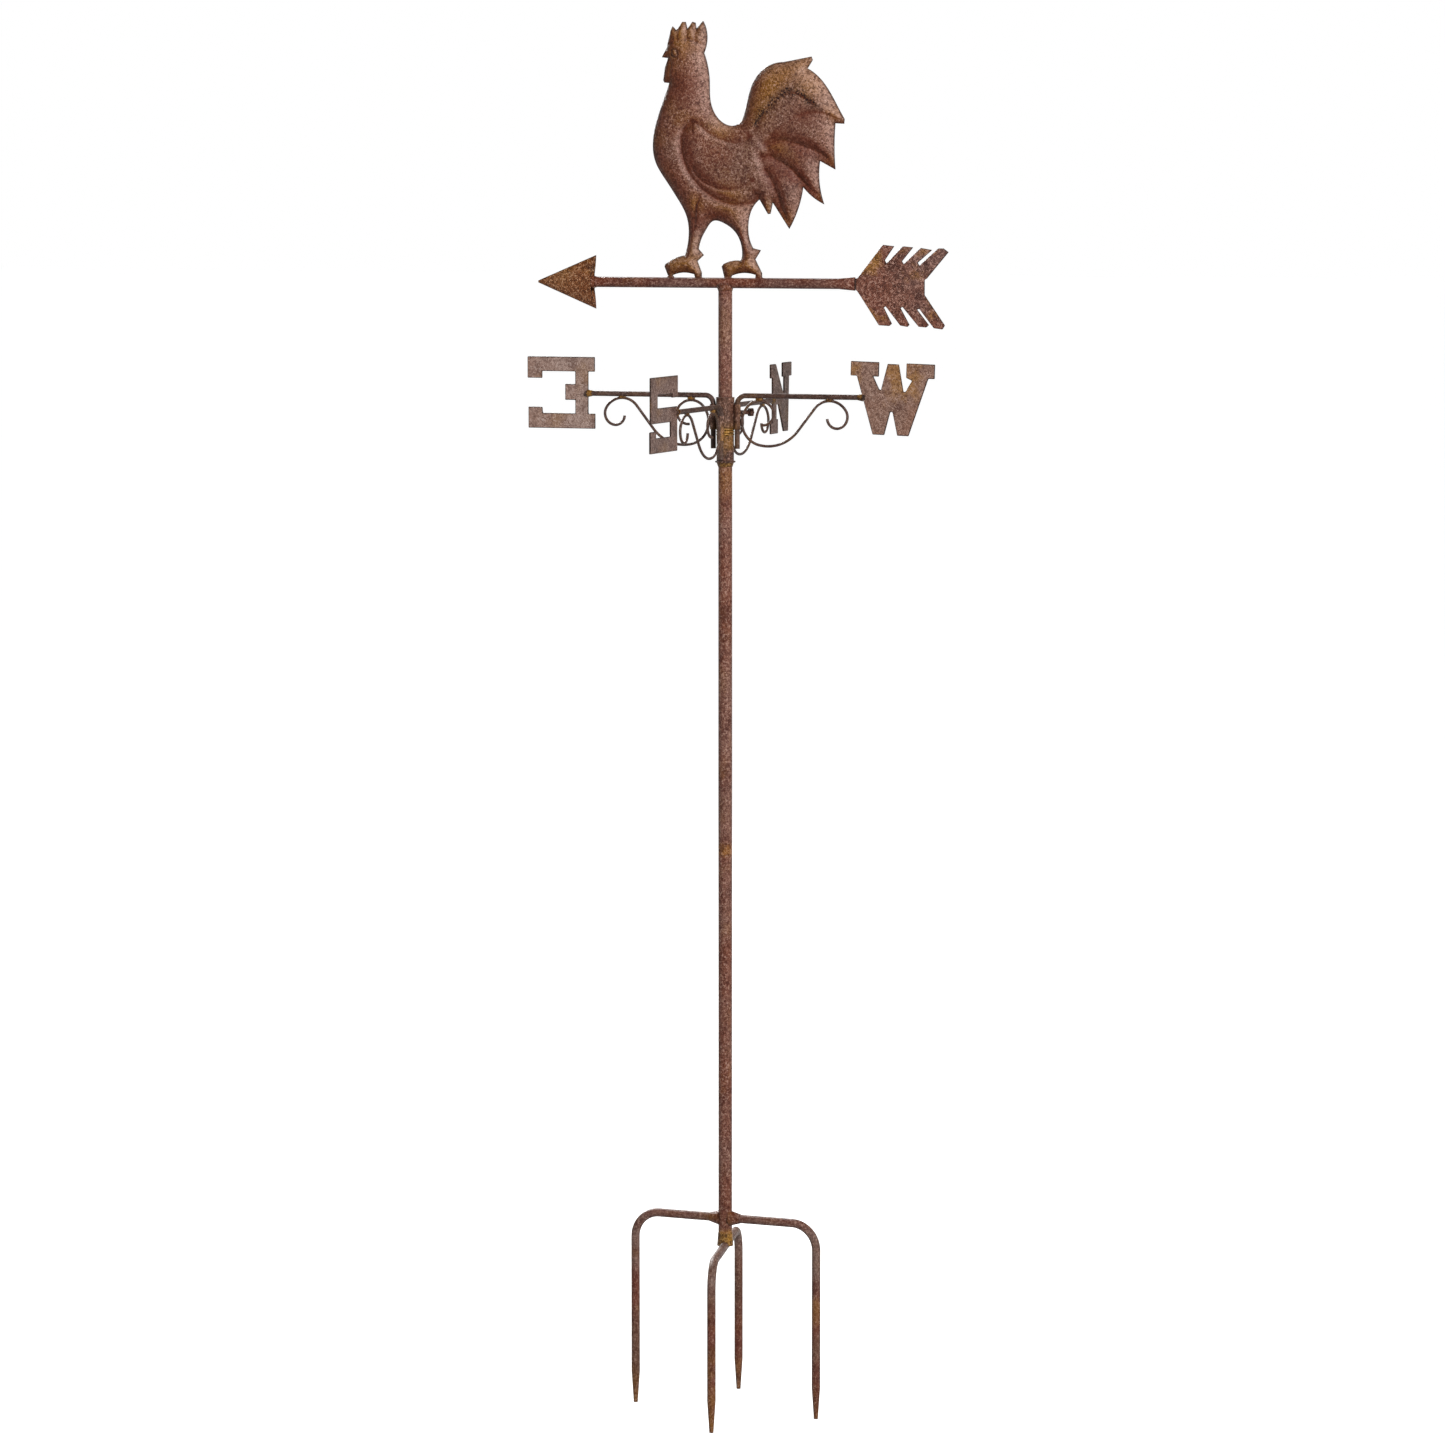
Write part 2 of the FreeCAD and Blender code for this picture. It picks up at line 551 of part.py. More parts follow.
def arm(letter, roll):
    """The pieces of one arm along +X, with its rod's centreline at height 0."""
    plate = arm_plate(letter, roll)
    band = Part.makeBox(SHAFT_Z, PLATE_T, 2 * ARM_R, vec(0, -PLATE_T / 2, -ARM_R))
    plate_edge = plate.common(band).BoundBox.XMin
    bar = arm_rod(plate, plate_edge)
    wire = scroll()
    welds = arm_welds(bar, wire, plate, plate_edge)
    return {"arm_rod": bar, "scroll": wire, "letter": plate, "arm_welds": welds}


def half_lens(x, half_height, half_thick):
    """Half of a lens section across X, on the -Y side."""
    top = vec(x, 0, SHAFT_Z + half_height)
    low = vec(x, 0, SHAFT_Z - half_height)
    arc = Part.Arc(top, vec(x, -half_thick, SHAFT_Z), low).toShape()
    return Part.Wire([arc, Part.makeLine(low, top)])


def head_half():
    """One of the arrowhead's two sheets: half of a flat, lens-shaped cone."""
    tip = HEAD_TIP_SIZE
    outer = Part.makeLoft([half_lens(HEAD_TIP_X, HEAD_HALF_H * tip, HEAD_THICK * tip + SHEET_T / 2),
                           half_lens(HEAD_BACK_X, HEAD_HALF_H, HEAD_THICK)], True, True)
    inside_x = HEAD_TIP_X + 4 * SHEET_T
    share = (inside_x - HEAD_TIP_X) / HEAD_LEN
    front = half_lens(inside_x, HEAD_HALF_H * share - SHEET_T, HEAD_THICK * share * 0.4)
    back_end = half_lens(HEAD_BACK_X, HEAD_HALF_H - 2 * SHEET_T, HEAD_THICK - SHEET_T)
    inner = Part.makeLoft([front, back_end], True, True)
    back = HEAD_BACK_X + 1
    notch = HEAD_BACK_X - HEAD_NOTCH
    corners = [(back, HEAD_HALF_H + 1), (HEAD_BACK_X, HEAD_HALF_H), (notch, HEAD_NOTCH_H / 2),
               (notch, -HEAD_NOTCH_H / 2), (HEAD_BACK_X, -HEAD_HALF_H), (back, -HEAD_HALF_H - 1)]
    return outer.cut(inner).cut(straight_plate(corners, 3 * HEAD_THICK, SHAFT_Z))


def head_weld():
    """The weld bead that fills the notch round the shaft."""
    start = HEAD_BACK_X - HEAD_NOTCH
    cone = Part.makeCone(SHAFT_R + BEAD, SHAFT_R + 0.3, HEAD_NOTCH, vec(start, 0, SHAFT_Z), vec(1, 0, 0))
    return cone.cut(bar_x(SHAFT_R, start - 1, 0, SHAFT_Z))


def oval(x, half_height, half_thick):
    """A wire across X: a circle, or an upright ellipse."""
    centre = vec(x, 0, SHAFT_Z)
    if half_height > half_thick:
        ellipse = Part.Ellipse(centre + UP * half_height, vec(x, half_thick, SHAFT_Z), centre)
        return Part.Wire(ellipse.toShape())
    return Part.Wire(Part.makeCircle(half_height, centre, vec(1, 0, 0)))


def arrow_shaft():
    """A tube with a crimped nose in the head and a flattened, flared tail end."""
    nose_x = HEAD_BACK_X - HEAD_NOTCH + BEAD
    flare_x = TAIL_ROOT_X - FLARE_L
    bore = SHAFT_R - SHAFT_WALL
    body = bar_x(SHAFT_R, nose_x, flare_x, SHAFT_Z)
    body = body.cut(bar_x(bore, nose_x + SHAFT_WALL, flare_x + 1, SHAFT_Z))
    nose = Part.makeCone(NOSE_TIP_D / 2, SHAFT_R, NOSE_L, vec(nose_x - NOSE_L, 0, SHAFT_Z), vec(1, 0, 0))
    flat = PLATE_T / 2
    outer = Part.makeLoft([oval(flare_x, SHAFT_R, SHAFT_R),
                           oval(TAIL_ROOT_X, FLARE_H / 2, flat + SHAFT_WALL)], True, False)
    inner = Part.makeLoft([oval(flare_x, bore, bore),
                           oval(TAIL_ROOT_X, FLARE_H / 2 - SHAFT_WALL, flat * 0.8)], True, False)
    return body.fuse([nose, outer.cut(inner).cut(tail_tongue(CLEAR))])


def tail_tongue(spare):
    """The tongue by which the tail plate stands in the flattened shaft end."""
    half = FLARE_H / 2 - SHAFT_WALL - BEAD
    return Part.makeBox(TAIL_TONGUE + 1 + spare, PLATE_T, 2 * half,
                        vec(TAIL_ROOT_X - TAIL_TONGUE - spare, -PLATE_T / 2, SHAFT_Z - half))


def arrow_tail():
    return straight_plate(FLETCHING, PLATE_T, SHAFT_Z).fuse(tail_tongue(0)).removeSplitter()


def tail_weld():
    """A bead down each side of the tail's root, against the shaft's end."""
    half = FLARE_H / 2 - BEAD
    bead = rod(BEAD, SHAFT_Z - half, SHAFT_Z + half, TAIL_ROOT_X, -PLATE_T / 2)
    corner = Part.makeBox(BEAD, BEAD, 2 * half, vec(TAIL_ROOT_X, -PLATE_T / 2 - BEAD, SHAFT_Z - half))
    front = bead.common(corner)
    return Part.makeCompound([front, mirrored(front)])


def rooster_outline():
    """The bird's closed outline, from its corner and smooth stretches."""
    edges = []
    last = ROOSTER[-1][1][-1]
    point = vec(last[0], 0, SHAFT_TOP_Z + last[1])
    for kind, stretch in ROOSTER:
        points = [point] + [vec(x, 0, SHAFT_TOP_Z + height) for x, height in stretch]
        if kind == "curve":
            curve = Part.BSplineCurve()
            curve.interpolate(points)
            edges.append(curve.toShape())
        else:
            edges += [Part.makeLine(a, b) for a, b in zip(points, points[1:])]
        point = points[-1]
    return Part.Wire(edges)


def dome(base, crest, level, depth):
    """A raised field with sloping sides, on the -Y side."""
    wires = [smooth_loop(base, -level, SHAFT_TOP_Z), smooth_loop(crest, -level - depth, SHAFT_TOP_Z)]
    return Part.makeLoft(wires, True, True)


def rooster_half():
    """One embossed sheet of the bird: the flat rim and its raised body, wing and tail."""
    sheet = Part.Face(rooster_outline()).extrude(vec(0, -SHEET_T, 0))
    fields = [(BODY_BASE, BODY_CREST, SHEET_T, BODY_DEPTH), (TAIL_BASE, TAIL_CREST, SHEET_T, TAIL_DEPTH),
              (WING_BASE, WING_CREST, SHEET_T + BODY_DEPTH, WING_DEPTH)]
    for base, crest, level, depth in fields:
        sheet = sheet.fuse(dome(base, crest, level, depth))
    for base, crest, level, depth in fields:
        sheet = sheet.cut(dome(base, crest, level - SHEET_T, depth))
    return sheet


def mirrored(shape):
    """A copy of a shape on the other side of the XZ plane."""
    return shape.mirror(AXIS, vec(0, 1, 0))


def foot_welds():
    """Beads on both sides of the sheets where a foot stands on the shaft."""
    solids = []
    for x in FOOT_X:
        bead = spindle_x(BEAD * 1.4, BEAD * 0.6, FOOT_WELD_L, x, SHAFT_TOP_Z)
        sheets = Part.makeBox(2 * FOOT_WELD_L, 2 * SHEET_T, 4 * BEAD,
                              vec(x - FOOT_WELD_L, -SHEET_T, SHAFT_TOP_Z - 2 * BEAD))
        bead = bead.cut(sheets).cut(bar_x(SHAFT_R, x - FOOT_WELD_L, x + FOOT_WELD_L, SHAFT_Z))
        solids += bead.Solids
    return Part.makeCompound(solids)


def build():
    """Every node's shape, by name."""
    nodes = {}

    # ground stake
    nodes["front_back_hoop"] = front_back_hoop()
    nodes["side_prong_west"] = side_prong(SIDE_SKEW)
    nodes["side_prong_east"] = side_prong(180 + SIDE_SKEW)
    nodes["side_prong_welds"] = Part.makeCompound([side_weld(SIDE_SKEW), side_weld(180 + SIDE_SKEW)])
    nodes["hoop_weld"] = hoop_weld()
    nodes["lower_pole"] = tube(POLE_R, POLE_BORE, POLE_END_Z, JOINT_Z)
    nodes["coupler_stop_ring"] = coupler_stop()
    nodes["pole_coupler"] = pole_coupler()

    # mast
    nodes["upper_pole"] = tube(POLE_R, POLE_BORE, JOINT_Z, POLE_TOP_Z)
    nodes["pole_top_plug"] = pole_top_plug()
    nodes["pivot_rod"] = pivot_rod()
    nodes["thrust_ball"] = Part.makeSphere(BALL_D / 2, vec(0, 0, BALL_Z))
    nodes["stop_washer"] = tube(POLE_R + STOP_REACH, POLE_R, STOP_Z, STOP_TOP_Z)
    weld = Part.makeCone(POLE_R + 0.4, POLE_R + 2, STOP_WELD_H, vec(0, 0, STOP_Z - STOP_WELD_H), UP)
    nodes["stop_weld"] = weld.cut(rod(POLE_R, STOP_Z - STOP_WELD_H - 1, STOP_Z + 1))

    # hub and clamp bolt
    nodes["hub_upper_sleeve"] = hub_upper_sleeve()
    nodes["hub_lower_sleeve"] = hub_lower_sleeve()
    nodes["hub_braze_rings"] = hub_rings()
    high_top = HUB_TOP_Z - SOCKET_BELOW_HUB
    low_top = high_top - ARM_STEP
    nodes["clamp_nut"] = clamp_nut()
    nodes["clamp_bolt_shank"] = clamp_bolt_shank()
    nodes["clamp_bolt_head"] = clamp_bolt_head()

    # arms
    arms = [("west", 0, high_top, WEST, WEST_ROLL), ("north", 90, low_top, NORTH, 0),
            ("east", 180, high_top, EAST, 0), ("south", 270, low_top, SOUTH, 0)]
    for name, angle, top, letter, roll in arms:
        nodes["socket_" + name] = socket(angle, top)
        for kind, shape in arm(letter, roll).items():
            shape.translate(vec(0, 0, top + ARM_BEND))
            nodes[kind + "_" + name] = turned(shape, angle)

    # bearing and vane
    nodes["bearing_sleeve"] = bearing_sleeve()
    nodes["rotor_bush"] = rotor_bush()
    nodes["rotor_cap"] = rotor_cap()
    nodes["rotor_tube"] = rotor_tube()
    nodes["rotor_weld"] = shaft_weld()
    nodes["arrow_shaft"] = arrow_shaft()
    nodes["arrow_head_front"] = head_half()
    nodes["arrow_head_back"] = mirrored(nodes["arrow_head_front"])
    nodes["arrow_head_weld"] = head_weld()
    nodes["arrow_tail"] = arrow_tail()
    nodes["arrow_tail_weld"] = tail_weld()
    nodes["rooster_front"] = rooster_half()
    nodes["rooster_back"] = mirrored(nodes["rooster_front"])
    nodes["foot_welds"] = foot_welds()
    return nodes


for node, shape in build().items():
    shape.exportStep("parts/" + node + ".step")
    box = shape.BoundBox
    print("%-20s solids %d  volume %9.1f  valid %s  z %7.1f to %7.1f"
          % (node, len(shape.Solids), shape.Volume, shape.isValid(), box.ZMin, box.ZMax))
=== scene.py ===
import math

import bmesh
import bpy
import numpy as np
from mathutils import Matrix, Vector
from mathutils.geometry import delaunay_2d_cdt


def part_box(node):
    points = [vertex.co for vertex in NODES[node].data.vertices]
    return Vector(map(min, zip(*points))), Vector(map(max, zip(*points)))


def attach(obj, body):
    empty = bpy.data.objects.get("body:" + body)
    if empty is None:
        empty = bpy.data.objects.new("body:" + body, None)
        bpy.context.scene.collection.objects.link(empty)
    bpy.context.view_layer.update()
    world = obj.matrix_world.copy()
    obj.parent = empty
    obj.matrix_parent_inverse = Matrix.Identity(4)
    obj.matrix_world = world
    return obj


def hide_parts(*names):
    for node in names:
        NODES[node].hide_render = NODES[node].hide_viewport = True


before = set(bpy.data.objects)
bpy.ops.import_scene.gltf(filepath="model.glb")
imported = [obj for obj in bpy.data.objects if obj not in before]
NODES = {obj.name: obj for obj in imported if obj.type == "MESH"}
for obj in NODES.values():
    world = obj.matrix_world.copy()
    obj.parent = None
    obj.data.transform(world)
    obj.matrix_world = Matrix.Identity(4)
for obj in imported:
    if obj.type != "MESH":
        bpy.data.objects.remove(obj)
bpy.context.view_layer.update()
ARMS = ("west", "north", "east", "south")
MM = 0.001


# ---- materials ---------------------------------------------------------------

PAINT_DEPTH = 0.235        # paint's brightness as a share of what the lit surface shows
STEEL_DEPTH = 0.8          # the same for bare steel
SHEEN = 0.07               # specular level of the dull paint
EDGE_WEAR_AND_SHADE = 1.4 * MM       # how far the dark edges reach, worn and with painted shade along them


def linear(colour, depth=PAINT_DEPTH):
    """The colour a lit surface shows (sRGB 0-255) as the linear colour of its paint."""
    return tuple(depth * (c / 255) ** 2.2 for c in colour) + (1.0,)


class Shader:
    """A small helper for building node materials."""

    def __init__(self, name):
        self.mat = bpy.data.materials.new(name)
        self.mat.use_nodes = True
        self.tree = self.mat.node_tree
        self.bsdf = self.tree.nodes["Principled BSDF"]
        self.coord = self.node("ShaderNodeTexCoord").outputs["Object"]

    def node(self, kind, inputs=None, **props):
        made = self.tree.nodes.new(kind)
        for key, value in props.items():
            setattr(made, key, value)
        for key, value in (inputs or {}).items():
            self.feed(made.inputs[key], value)
        return made

    def feed(self, socket, value):
        if isinstance(value, bpy.types.NodeSocket):
            self.tree.links.new(value, socket)
        else:
            socket.default_value = value

    def noise(self, scale, detail=4.0, rough=0.6, distort=0.0):
        made = self.node("ShaderNodeTexNoise", {"Vector": self.coord, "Scale": scale, "Detail": detail,
                                                "Roughness": rough, "Distortion": distort})
        return made.outputs["Fac"]

    def ramp(self, value, low, high, to_low=0.0, to_high=1.0):
        made = self.node("ShaderNodeMapRange", {"Value": value, "From Min": low, "From Max": high,
                                                "To Min": to_low, "To Max": to_high})
        made.interpolation_type = "SMOOTHSTEP"
        return made.outputs["Result"]

    def math(self, kind, a, b=0.0):
        made = self.node("ShaderNodeMath", operation=kind)
        self.feed(made.inputs[0], a)
        self.feed(made.inputs[1], b)
        return made.outputs[0]

    def mix(self, factor, a, b):
        made = self.node("ShaderNodeMix", data_type="RGBA")
        self.feed(made.inputs["Factor"], factor)
        self.feed(made.inputs["A"], a)
        self.feed(made.inputs["B"], b)
        return made.outputs["Result"]

    def attribute(self, name):
        return self.node("ShaderNodeAttribute", attribute_name=name).outputs["Fac"]

    def edges(self, width):
        """1 on sharp edges, falling to 0 within a width of them."""
        rounded = self.node("ShaderNodeBevel", {"Radius": width}, samples=6).outputs["Normal"]
        face = self.node("ShaderNodeNewGeometry").outputs["Normal"]
        made = self.node("ShaderNodeVectorMath", operation="DOT_PRODUCT")
        self.feed(made.inputs[0], rounded)
        self.feed(made.inputs[1], face)
        return self.ramp(made.outputs["Value"], 0.985, 0.8)

    def height(self):
        """Object height above the prong tips, in metres."""
        return self.node("ShaderNodeSeparateXYZ", {"Vector": self.coord}).outputs["Z"]


MAUVE = linear((204, 164, 148))
MIDDLE = linear((138, 94, 74))
REDDISH = linear((134, 68, 38))
MAROON = linear((74, 28, 18))
BLACKISH = linear((30, 16, 13))
OLIVE = linear((158, 110, 50))
GOLD = linear((214, 150, 48))


def rust(name, light=MAUVE, middle=MIDDLE, warm=REDDISH, dark=MAROON, gold=OLIVE, gold_amount=0.25,
         warm_amount=0.6, speckle=1.0, rough=0.48, worn_shaded_edges=0.7, bands=(), masks=(), scuffs=None):
    """Painted, hammered metal: warm and dark mottling, light worm-like speckles and gold dry-brushing."""
    s = Shader(name)
    broad = s.noise(9.0, 3.0, 0.55)
    patch = s.noise(46.0, 5.0, 0.62, 0.4)
    fine = s.noise(400.0, 4.0, 0.62, 1.1)
    pores = s.noise(900.0, 2.0, 0.6, 0.6)
    colour = s.mix(s.math("MULTIPLY", s.ramp(broad, 0.4, 0.6), warm_amount), middle, warm)
    colour = s.mix(s.math("MULTIPLY", s.ramp(patch, 0.5, 0.34), 0.6), colour, dark)
    gold_fac = s.math("MULTIPLY", s.ramp(s.noise(21.0, 4.0, 0.6), 0.5, 0.66), gold_amount)
    colour = s.mix(gold_fac, colour, gold)
    for low, high, fade, tint, amount in bands:
        rise = s.ramp(s.height(), low - fade, low + fade)
        fall = s.ramp(s.height(), high + fade, high - fade)
        mottle = s.ramp(patch, 0.34, 0.56, 0.3 * amount, amount)
        mask = s.math("MULTIPLY", s.math("MULTIPLY", rise, fall), mottle)
        colour = s.mix(mask, colour, tint)
    for attribute, tint, amount in masks:
        mask = s.math("MULTIPLY", s.attribute(attribute), s.ramp(patch, 0.3, 0.6, 0.7 * amount, amount))
        colour = s.mix(mask, colour, tint)
    colour = s.mix(s.ramp(fine, 0.55, 0.38, 0.0, 0.78 * speckle), colour, dark)
    rubbed = s.ramp(fine, 0.52, 0.66, 0.0, 0.66 * speckle)
    # with a scuffs mask, the light speckles are also dimmed where the painted shade lies
    if scuffs:
        rubbed = s.math("MULTIPLY", rubbed, s.ramp(s.attribute("shade"), 0.1, 0.9, 1.0, 0.3))
    colour = s.mix(rubbed, colour, light)
    colour = s.mix(s.ramp(pores, 0.42, 0.28, 0.0, 0.55 * speckle), colour, BLACKISH)
    # dark edges, partly wear and partly painted shade
    if worn_shaded_edges:
        worn_shaded_edge_mask = s.math("MULTIPLY", s.edges(EDGE_WEAR_AND_SHADE), s.ramp(patch, 0.3, 0.6, 0.55 * worn_shaded_edges, worn_shaded_edges))
        colour = s.mix(worn_shaded_edge_mask, colour, BLACKISH)
    if scuffs:
        scratches = s.ramp(s.noise(210.0, 3.0, 0.7, 2.5), 0.47, 0.53)
        colour = s.mix(s.math("MULTIPLY", s.attribute(scuffs), scratches), colour, BLACKISH)
    s.feed(s.bsdf.inputs["Base Color"], colour)
    s.feed(s.bsdf.inputs["Roughness"], s.ramp(fine, 0.35, 0.7, rough + 0.12, rough - 0.12))
    s.bsdf.inputs["Specular IOR Level"].default_value = SHEEN
    relief = s.math("ADD", fine, s.math("MULTIPLY", patch, 0.8))
    bump = s.node("ShaderNodeBump", {"Height": relief, "Strength": 0.7, "Distance": 0.001})
    s.feed(s.bsdf.inputs["Normal"], bump.outputs["Normal"])
    return s.mat


def plain_metal(name, colour, rough, metallic=1.0):
    """Bare steel with turning marks, for the hidden pieces."""
    s = Shader(name)
    marks = s.noise(600.0, 3.0, 0.5)
    turned = linear(tuple(c * 0.7 for c in colour), STEEL_DEPTH)
    body = s.mix(s.ramp(marks, 0.35, 0.65), linear(colour, STEEL_DEPTH), turned)
    rubbed = linear(tuple(min(255, c * 1.3) for c in colour), STEEL_DEPTH)
    s.feed(s.bsdf.inputs["Base Color"], s.mix(s.edges(0.8 * MM), body, rubbed))
    s.feed(s.bsdf.inputs["Roughness"], s.ramp(marks, 0.3, 0.7, rough, rough + 0.15))
    s.bsdf.inputs["Metallic"].default_value = metallic
    bump = s.node("ShaderNodeBump", {"Height": marks, "Strength": 0.3, "Distance": 0.0002})
    s.feed(s.bsdf.inputs["Normal"], bump.outputs["Normal"])
    return s.mat


pole_rust = rust("pole_rust", middle=linear((142, 102, 88)), warm=linear((132, 74, 52)), warm_amount=0.8,
                 bands=[(0.195, 0.214, 0.004, GOLD, 0.9), (0.655, 0.668, 0.004, GOLD, 0.55),
                        (1.075, 1.105, 0.02, OLIVE, 0.6)])
fork_rust = rust("fork_rust", warm=linear((126, 62, 46)), warm_amount=0.8, speckle=0.85, gold_amount=0.6,
                 middle=linear((122, 88, 70)),
                 bands=[(-0.01, 0.03, 0.02, OLIVE, 0.6),
                        (0.16, 0.23, 0.02, linear((140, 118, 108)), 0.75)])
rod_rust = rust("rod_rust", light=linear((150, 130, 122)), middle=linear((98, 76, 68)),
                warm=linear((92, 62, 50)), dark=linear((46, 32, 28)), speckle=0.7)
shaft_rust = rust("shaft_rust", middle=linear((122, 86, 76)), warm_amount=0.7)
plate_rust = rust("plate_rust", light=linear((200, 168, 154)), middle=linear((156, 122, 106)),
                  warm=linear((152, 98, 72)), dark=linear((88, 58, 48)), gold=linear((172, 122, 58)),
                  gold_amount=0.7, speckle=0.9, worn_shaded_edges=0.0)
pale_plate = rust("pale_plate", light=linear((214, 190, 180)), middle=linear((182, 154, 142)),
                  warm=linear((164, 124, 106)), dark=linear((116, 88, 78)), gold=linear((172, 128, 74)),
                  gold_amount=0.35, speckle=0.9, worn_shaded_edges=0.0)
# a darker copy of the letter paint: painted shade on the N and S
plate_painted_shade = rust("plate_painted_shade", light=linear((188, 160, 148)), middle=linear((134, 108, 98)),
                 warm=linear((124, 84, 66)), dark=linear((70, 48, 42)), gold=linear((150, 108, 56)),
                 gold_amount=0.4, speckle=0.9, worn_shaded_edges=0.0)
tail_rust = rust("tail_rust", middle=linear((138, 102, 92)), dark=linear((58, 32, 28)),
                 gold=linear((176, 122, 52)), gold_amount=0.85, worn_shaded_edges=0.0)
# dark finish for the tail's weld, the bird's side walls and the plates' edges; on the plates' edges it is
# partly wear and partly painted shade
edge_dark = rust("edge_dark", light=linear((120, 96, 84)), middle=linear((58, 38, 32)),
                 warm=linear((66, 38, 28)), dark=linear((30, 18, 16)), gold_amount=0.3, speckle=0.6,
                 worn_shaded_edges=0.0)
# the "shade" mask lays painted shade and the "pale" mask a painted highlight on the bird
rooster_rust = rust("rooster_rust", middle=linear((138, 98, 80)), dark=linear((66, 32, 22)), gold_amount=0.35,
                    masks=[("amber", linear((166, 112, 44)), 0.95), ("pale", MAUVE, 0.62),
                           ("shade", linear((108, 46, 22)), 0.9), ("rim", BLACKISH, 0.85)],
                    worn_shaded_edges=0.0, scuffs="scuff")
head_rust = rust("head_rust", light=linear((226, 184, 148)), middle=linear((158, 106, 60)),
                 dark=linear((62, 32, 20)), gold=linear((190, 126, 46)), gold_amount=0.95, worn_shaded_edges=0.9)
weld_gold = rust("weld_gold", light=linear((206, 166, 108)), middle=linear((146, 104, 50)),
                 warm=linear((112, 68, 34)), dark=linear((56, 32, 20)), gold=GOLD, gold_amount=0.9,
                 rough=0.42)
weld_brown = rust("weld_brown", middle=linear((122, 84, 60)), gold_amount=0.6, rough=0.45)
hub_rust = rust("hub_rust", middle=linear((112, 80, 64)), warm=linear((108, 60, 42)),
                dark=linear((46, 26, 20)), gold_amount=0.6, bands=[(1.125, 1.152, 0.008, OLIVE, 0.7)])
steel = plain_metal("bare_steel", (150, 146, 140), 0.3)
ball_steel = plain_metal("ball_steel", (215, 215, 215), 0.08)
liner = plain_metal("bearing_liner", (48, 48, 50), 0.5, 0.0)

FINISH = {
    "lower_pole": pole_rust, "upper_pole": pole_rust, "rotor_tube": pole_rust, "arrow_shaft": shaft_rust,
    "front_back_hoop": fork_rust, "side_prong_west": fork_rust, "side_prong_east": fork_rust,
    "side_prong_welds": weld_brown, "hoop_weld": weld_gold, "stop_weld": weld_gold, "rotor_weld": weld_brown,
    "stop_washer": hub_rust, "hub_upper_sleeve": hub_rust, "hub_lower_sleeve": hub_rust,
    "hub_braze_rings": weld_gold, "clamp_nut": hub_rust, "clamp_bolt_shank": hub_rust,
    "clamp_bolt_head": hub_rust, "arrow_head_front": head_rust, "arrow_head_back": head_rust,
    "arrow_head_weld": weld_brown, "arrow_tail": tail_rust, "arrow_tail_weld": edge_dark,
    "foot_welds": weld_brown, "rooster_front": rooster_rust, "rooster_back": rooster_rust,
    "pole_coupler": steel, "coupler_stop_ring": steel, "pole_top_plug": steel, "pivot_rod": steel,
    "thrust_ball": ball_steel, "bearing_sleeve": liner, "rotor_bush": steel, "rotor_cap": steel,
}
for arm in ARMS:
    FINISH["arm_rod_" + arm] = rod_rust
    FINISH["scroll_" + arm] = rod_rust
    # the N and S letters take the darker copy, painted shade
    FINISH["letter_" + arm] = {"west": plate_rust, "east": pale_plate}.get(arm, plate_painted_shade)
    FINISH["arm_welds_" + arm] = weld_gold
    FINISH["socket_" + arm] = hub_rust

for name, node in NODES.items():
    node.data.materials.clear()
    node.data.materials.append(FINISH[name])


# ---- plates with dark edges, partly wear and partly painted shade ------------

PLATE_EDGE = 0.8 * MM      # rounding of a plate's edges


def plate_with_worn_shaded_edges(node_name, body):
    """The CAD plate again with rounded edges in a darker finish, which is partly wear and partly painted
    shade.
    """
    mesh = bpy.data.meshes.new(node_name + "_worn_shaded_edges")
    work = bmesh.new()
    work.from_mesh(NODES[node_name].data)
    bmesh.ops.remove_doubles(work, verts=work.verts, dist=1e-6)
    bmesh.ops.dissolve_limit(work, angle_limit=math.radians(1), verts=work.verts, edges=work.edges)
    work.to_mesh(mesh)
    work.free()
    plate = bpy.data.objects.new(node_name + "_worn_shaded_edges", mesh)
    bpy.context.collection.objects.link(plate)
    mesh.materials.clear()
    mesh.materials.append(FINISH[node_name])
    mesh.materials.append(edge_dark)
    thin = min(range(3), key=lambda axis: plate.dimensions[axis])
    # the plate's side faces take the dark finish: partly wear, partly painted shade
    for face in mesh.polygons:
        face.material_index = 0 if abs(face.normal[thin]) > 0.9 else 1
    bevel = plate.modifiers.new("worn_shaded_edges", "BEVEL")
    bevel.width = PLATE_EDGE
    bevel.segments = 2
    bevel.limit_method = "ANGLE"
    bevel.angle_limit = math.radians(40)
    bevel.material = 1
    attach(plate, body)
    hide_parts(node_name)


for arm in ARMS:
    plate_with_worn_shaded_edges("letter_" + arm, "arm_" + arm)
plate_with_worn_shaded_edges("arrow_tail", "vane")


# ---- rooster -----------------------------------------------------------------
# Points are (x, height above the arrow shaft's top) in millimetres.

BASE_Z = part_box("rooster_front")[0].z


def front_outline():
    """The bird's outline where its CAD sheet meets the seam plane, as (x, z) in millimetres."""
    work = bmesh.new()
    work.from_mesh(NODES["rooster_front"].data)
    bmesh.ops.remove_doubles(work, verts=work.verts, dist=1e-6)
    after = {}
    for edge in work.edges:
        if max(abs(v.co.y) for v in edge.verts) < 1e-6:
            flat = [abs(face.normal.y) > 0.97 for face in edge.link_faces]
            if sorted(flat) == [False, True]:
                a, b = (v.index for v in edge.verts)
                after.setdefault(a, []).append(b)
                after.setdefault(b, []).append(a)
    place = {v.index: np.array((v.co.x / MM, (v.co.z - BASE_Z) / MM)) for v in work.verts}
    work.free()
    start = min(after, key=lambda i: place[i][0])
    ring = [start]
    while True:
        step = [i for i in after[ring[-1]] if i not in ring[-2:] and (i != start or len(ring) > 2)]
        if not step or step[0] == start:
            break
        ring.append(step[0])
    return np.array([place[i] for i in ring])


